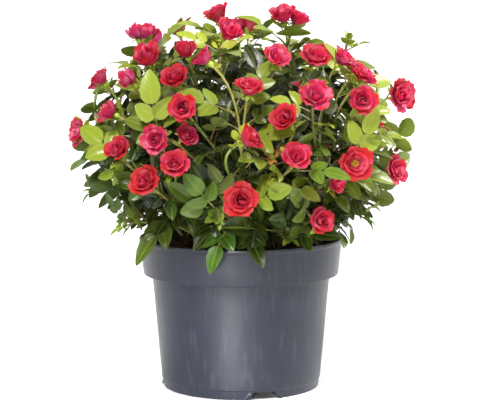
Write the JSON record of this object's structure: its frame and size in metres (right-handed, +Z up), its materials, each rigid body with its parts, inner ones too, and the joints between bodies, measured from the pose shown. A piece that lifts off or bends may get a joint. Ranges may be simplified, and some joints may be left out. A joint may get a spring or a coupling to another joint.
{
  "type": "potted miniature rose",
  "caption": "Bushy miniature rose in a round moulded nursery pot: a low dome of leafy canes with small red double blooms, standing in potting soil.",
  "frame": {"origin": "centre of the flat underside of the pot's foot, on the pot's axis", "axes": "+Z up along the pot's axis; -Y is the front that the picture shows; +X is to the right seen from the front"},
  "size_m": [0.3208, 0.318, 0.3593],
  "materials": {
    "pot_plastic": "dark blue-grey injection-moulded polypropylene, satin, lightly scuffed",
    "potting_soil": "dark brown crumbly peat and bark potting soil",
    "foliage": "glossy green leaves, yellow-green young tips, green to reddish stems",
    "petals": "velvety crimson to pink-red petals with a pale silky sheen"
  },
  "bodies": {
    "root": {"pot": "pot_plastic", "soil": "potting_soil", "leafy_stem_01": "foliage", "leafy_stem_02": "foliage", "leafy_stem_03": "foliage", "leafy_stem_04": "foliage", "leafy_stem_05": "foliage", "leafy_stem_06": "foliage", "leafy_stem_07": "foliage", "leafy_stem_08": "foliage", "leafy_stem_09": "foliage", "leafy_stem_10": "foliage", "leafy_stem_11": "foliage", "leafy_stem_12": "foliage", "bloom_01": "petals", "bloom_02": "petals", "bloom_03": "petals", "bloom_04": "petals", "bloom_05": "petals", "bloom_06": "petals", "bloom_07": "petals", "bloom_08": "petals", "bloom_09": "petals", "bloom_10": "petals", "bloom_11": "petals", "bloom_12": "petals", "bloom_13": "petals", "bloom_14": "petals", "bloom_15": "petals", "bloom_16": "petals", "bloom_17": "petals", "bloom_18": "petals", "bloom_19": "petals", "bloom_20": "petals", "bloom_21": "petals", "bloom_22": "petals", "bloom_23": "petals", "bloom_24": "petals", "bloom_25": "petals", "bloom_26": "petals", "bloom_27": "petals", "bloom_28": "petals", "bloom_29": "petals", "bloom_30": "petals", "bloom_31": "petals", "bloom_32": "petals", "bloom_33": "petals", "bloom_34": "petals", "bloom_35": "petals", "bloom_36": "petals", "bloom_37": "petals", "bloom_38": "petals", "bloom_39": "petals", "bloom_40": "petals", "bloom_41": "petals", "bloom_42": "petals", "bloom_43": "petals", "bloom_44": "petals", "bloom_45": "petals", "bloom_46": "petals"}
  },
  "joints": []
}
